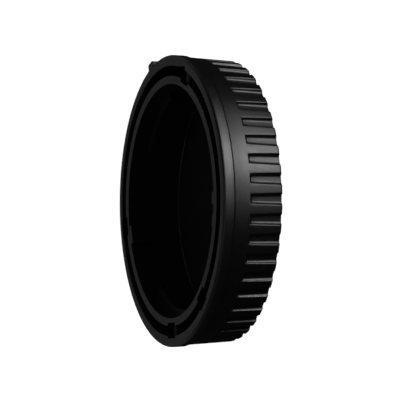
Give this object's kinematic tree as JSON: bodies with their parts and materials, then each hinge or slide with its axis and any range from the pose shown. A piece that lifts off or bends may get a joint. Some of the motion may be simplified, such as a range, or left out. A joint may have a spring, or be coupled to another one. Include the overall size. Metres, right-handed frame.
{
  "type": "rear lens cap",
  "caption": "Round rear lens cap: closed disc, fluted grip wall, chamfered lip with an index nub, and an inner bayonet ring inside an open annular groove.",
  "frame": {"origin": "centre of the closed outer face, on the cap's axis", "axes": "+Z along the cap's axis, from the closed face towards the open side; +Y towards the index nub on the lip"},
  "size_m": [0.06, 0.0611, 0.013],
  "materials": {
    "black_plastic": "fine matte moulded plastic"
  },
  "bodies": {
    "root": {"lens_cap": "black_plastic"}
  },
  "joints": []
}
